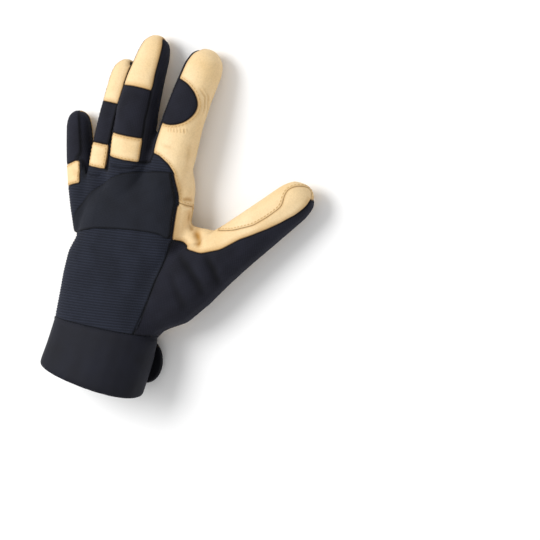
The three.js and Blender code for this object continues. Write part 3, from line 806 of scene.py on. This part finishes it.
# Painted shade along the pad's edge: the seam mark runs inwards from its outline, and the knit is painted darker near
# it.
edge = np.clip(inside_by(co[:, :2], loop) / reach, 0, 1)
pad.data.attributes["seam"].data.foreach_set("value", edge.astype(np.float32))
pad.data.materials.append(knit("smooth_navy_knit", "#1b1e27", "#12141b"))
put(pad, "padded_knit", "knuckle_pad")


# The cuff: 3 mm neoprene faced with smooth jersey, cut as a band and sewn to the wrist in one seam,
# its rim left as a clean rounded edge.
past = (skin_co - np.array(rim_at)) @ np.array(rim_way)
to_rim = np.clip(1 - past / (1.6 * MM), 0, 1)
proud = 0.35 * MM * np.clip((to_seam - 1.0 * MM) / (1.5 * MM), 0, 1)
shaped = skin_co + skin_out * (proud - 0.45 * MM * (1 - np.sqrt(1 - to_rim**2)))[:, None]
cuff_side = np.minimum(ground_of("cuff"), past)
cuff = cut_out("cuff_band", cuff_side, lining=2.6 * MM, co=shaped)


def neoprene_faced(name, light, dark):
    made, tree, shader = material(name, 0.7, sheen=0.03, sheen_tint="#9aa0b4", specular=0.2)
    place = add(tree, "TexCoord")
    cloudy = add(tree, "TexNoise", [("Vector", place, "Object"), ("Scale", 45.0), ("Detail", 3.0)])
    tone = add(tree, "ValToRGB", [("Fac", cloudy, "Fac")])
    tone.color_ramp.elements[0].position = 0.3
    tone.color_ramp.elements[0].color = linear(dark)
    tone.color_ramp.elements[1].position = 0.7
    tone.color_ramp.elements[1].color = linear(light)
    tree.links.new(tone.outputs["Color"], shader.inputs["Base Color"])
    fine = add(tree, "TexNoise", [("Vector", place, "Object"), ("Scale", 1500.0), ("Detail", 2.0)])
    bump = add(tree, "Bump", [("Height", fine, "Fac"), ("Strength", 0.35), ("Distance", 0.00015)])
    tree.links.new(bump.outputs["Normal"], shader.inputs["Normal"])
    return made


neoprene = neoprene_faced("charcoal_neoprene", "#11131f", "#0b0c15")
cuff.data.materials.append(neoprene)
put(cuff, "neoprene", "cuff")


# The strap: a 31 mm band of the same neoprene with a raised moulded edge, sewn on under the wrist at
# the little finger's side, wrapped round the palm side and pressed onto its hook patch. Its rounded
# end stands off the wrist at the thumb's side.
strap_half = 15.5 * MM
strap_thick = 2.4 * MM
strip_low = 0.2 * MM
strap_free = 21 * MM
strap_rise = 0.35 * MM
wrist_at = Vector((-0.0381, -0.0976, 0.02515))
wrist_way = Vector((0.0698, 0.9976, 0.0699)).normalized()
strap_edge = [(0, 0.5), (0.12, 0.72), (0.4, 0.9), (0.9, 1.0), (2.3, 1.0), (2.75, 0.74), (3.3, 0.72), (5, 0.8)]

wrist_side = wrist_way.cross(Vector((0, 0, 1))).normalized()
wrist_up = wrist_side.cross(wrist_way)


def on_wrist(angle, shift):
    way = wrist_side * (math.cos(angle) * 38.3) + wrist_up * (math.sin(angle) * 21.9)
    way.normalize()
    start = wrist_at + wrist_way * shift + way * 0.08
    spot, out, _, _ = base.ray_cast(start, -way)
    return spot, out


def strip(name, stations, half, thick, edge, round_from=None):
    """A band through stations (middle, width way, normal), with edges shaped by (from edge, height); the width way is
    not used.
    """
    top = [(e * MM, h) for e, h in edge] + [(half * 0.75, edge[-1][1] + 0.02)]
    rings = []
    for place, width, normal, past in stations:
        ring = []
        left = half if past is None else half - past
        wide = [
            half - e if past is None else math.sqrt(max((half - e) ** 2 - past**2, 0)) for e, _ in top
        ]
        table = dict(zip([e for e, _ in top], [h for _, h in top]))
        high = [np.interp(min(e, left), list(table), list(table.values())) for e, _ in top]
        low = [max(0.0, 1 - h) if e < 1 * MM else 0.0 for (e, _), h in zip(top, high)]
        low = [np.interp(min(e, left), [0, 0.12 * MM, 0.4 * MM, 0.9 * MM], [0.5, 0.28, 0.1, 0]) for e, _ in top]
        spots = [(w, h) for w, h in zip(wide, high)] + [(-w, h) for w, h in reversed(list(zip(wide, high)))]
        spots += [(-w, h) for w, h in list(zip(wide, low))[1:]] + [(w, h) for w, h in reversed(list(zip(wide, low))[1:])]
        for w, h in spots:
            ring.append(place(w) + normal * (h * thick))
        rings.append(ring)
    count = len(rings[0])
    points = [p for ring in rings for p in ring]
    for p in points:
        p.z = max(p.z, strip_low)
    faces = []
    for i in range(len(rings) - 1):
        for k in range(count):
            m = (k + 1) % count
            a, b, c, d = i * count + k, i * count + m, (i + 1) * count + m, (i + 1) * count + k
            faces.append((a, b, c, d))
    faces.append(tuple(reversed(range(count))))
    faces.append(tuple((len(rings) - 1) * count + k for k in range(count)))
    mesh = bpy.data.meshes.new(name)
    mesh.from_pydata([tuple(p) for p in points], [], faces)
    piece = bpy.data.objects.new(name, mesh)
    bpy.context.scene.collection.objects.link(piece)
    pick(piece)
    bpy.ops.object.mode_set(mode="EDIT")
    bpy.ops.mesh.select_all(action="SELECT")
    bpy.ops.mesh.remove_doubles(threshold=0.01 * MM)
    bpy.ops.mesh.normals_make_consistent(inside=False)
    bpy.ops.object.mode_set(mode="OBJECT")
    bpy.ops.object.shade_smooth_by_angle(angle=math.radians(45))
    return piece


def wrapped(angle):
    spots = {}
    _, out = on_wrist(angle, 0)

    def place(w, angle=angle):
        spot, normal = on_wrist(angle, w)
        return spot + normal * strap_rise

    return place, None, out, None


stations = [wrapped(math.radians(a)) for a in np.linspace(188, 299, 56)]
leave, leave_out = on_wrist(math.radians(299), 0)
before, _ = on_wrist(math.radians(296), 0)
heading = (leave - before).normalized()
leave_out = wrist_way.cross(heading).normalized()
if leave_out.dot(stations[-1][2]) < 0:
    leave_out = -leave_out
straight = strap_free - strap_half
for u in np.linspace(0.08, 1, 5) * straight:
    stations.append((lambda w, u=u: leave + leave_out * strap_rise + heading * u + wrist_way * w, None, leave_out, None))
for turn in np.linspace(0.06, 1, 22):
    u = strap_half * math.sin(turn * math.pi / 2) * 0.9995
    stations.append(
        (lambda w, u=u: leave + leave_out * strap_rise + heading * (straight + u) + wrist_way * w, None, leave_out, u)
    )
strap = strip("wrist_strap", stations, strap_half, strap_thick, strap_edge)
strap.data.materials.append(neoprene_faced("moulded_neoprene", "#0b0c13", "#07080d"))
put(strap, "neoprene", "strap")


# The pull tab: a folded loop of 8 mm woven tape, caught in the wrist seam at the little finger's side.
tab_thick = 1.15 * MM
co, _ = corners_of(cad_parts["pull_tab"].data)
middle = co.mean(axis=0)
_, _, axes = np.linalg.svd(co - middle)
length_way, width_way, thick_way = (Vector(a) for a in axes)
if length_way.y < 0:
    length_way = -length_way
if thick_way.x > 0:
    thick_way = -thick_way
along = (co - middle) @ np.array(length_way)
across = (co - middle) @ np.array(width_way)
level = (co - middle) @ np.array(thick_way)
tab_half = (across.max() - across.min()) / 2
centre = Vector(middle) + length_way * ((along.max() + along.min()) / 2) + thick_way * ((level.max() + level.min()) / 2)
tab_long = (along.max() - along.min()) / 2
line = [(-tab_long, 0.75), (-tab_long * 0.4, 0.72), (tab_long * 0.3, 0.75), (tab_long * 0.75, 0.8)]
line += [(tab_long - 0.8 * MM, 0.62), (tab_long - 0.55 * MM, 0.0)]
line += [(x, -h) for x, h in reversed(line[:-1])]
stations = []
for i, (x, h) in enumerate(line):
    a, b = line[max(i - 1, 0)], line[min(i + 1, len(line) - 1)]
    way = length_way * (b[0] - a[0]) + thick_way * ((b[1] - a[1]) * MM)
    normal = width_way.cross(way).normalized()
    spot = centre + length_way * x + thick_way * (h * MM) - normal * (tab_thick / 2)
    stations.append((lambda w, spot=spot: spot + width_way * w, None, normal, None))
tab = strip("pull_loop", stations, tab_half, tab_thick, [(0, 0.5), (0.12, 0.8), (0.35, 1.0), (0.9, 1.0)])
work(tab, "SUBSURF", levels=2, render_levels=2)
tab.data.materials.append(knit("black_tape", "#17181c", "#0c0c10"))
put(tab, "webbing", "pull_tab")


# The stage: a pale floor, a broad soft light from the upper left and weak ones around it.
bpy.ops.mesh.primitive_plane_add(size=6, location=(0, 0, 0))
floor = bpy.context.object
floor.name = "floor"
made, tree, shader = material("pale_floor", 0.9)
shader.inputs["Base Color"].default_value = linear("#f4f4f4")
floor.data.materials.append(made)


def lamp(name, at, aim, size, power):
    data = bpy.data.lights.new(name, "AREA")
    data.shape = "DISK"
    data.size = size
    data.energy = power
    new = bpy.data.objects.new(name, data)
    new.location = at
    new.rotation_euler = (Vector(aim) - Vector(at)).to_track_quat("-Z", "Y").to_euler()
    bpy.context.scene.collection.objects.link(new)


lamp("key", (-1.15, 0.4, 1.5), (0, 0, 0), 1.3, 33)
lamp("fill", (0.9, -0.9, 1.4), (0, 0, 0), 1.4, 5)
world = bpy.data.worlds.new("studio")
bpy.context.scene.world = world
world.use_nodes = True
world.node_tree.nodes["Background"].inputs["Color"].default_value = linear("#ffffff")
world.node_tree.nodes["Background"].inputs["Strength"].default_value = 0.62
bpy.context.scene.view_settings.view_transform = "Standard"

# The camera looks down at the glove from 64 degrees, from a little to the thumb's side.
right = Vector((0.8865, 0.1590, -0.4346))
up = Vector((-0.1886, 0.9817, -0.0255))
back_way = Vector((0.4226, 0.1045, 0.9003))
seen_width = 0.364
distance = 4.0
data = bpy.data.cameras.new("camera")
camera = bpy.data.objects.new("camera", data)
bpy.context.scene.collection.objects.link(camera)
data.sensor_width = 36
data.lens = 36 * distance / seen_width
data.clip_end = 20
at = Vector((0.0743, -0.0183, 0.015)) + back_way * distance
turned = Matrix((right, up, back_way)).transposed().to_4x4()
camera.matrix_world = Matrix.Translation(at) @ turned
bpy.context.scene.camera = camera
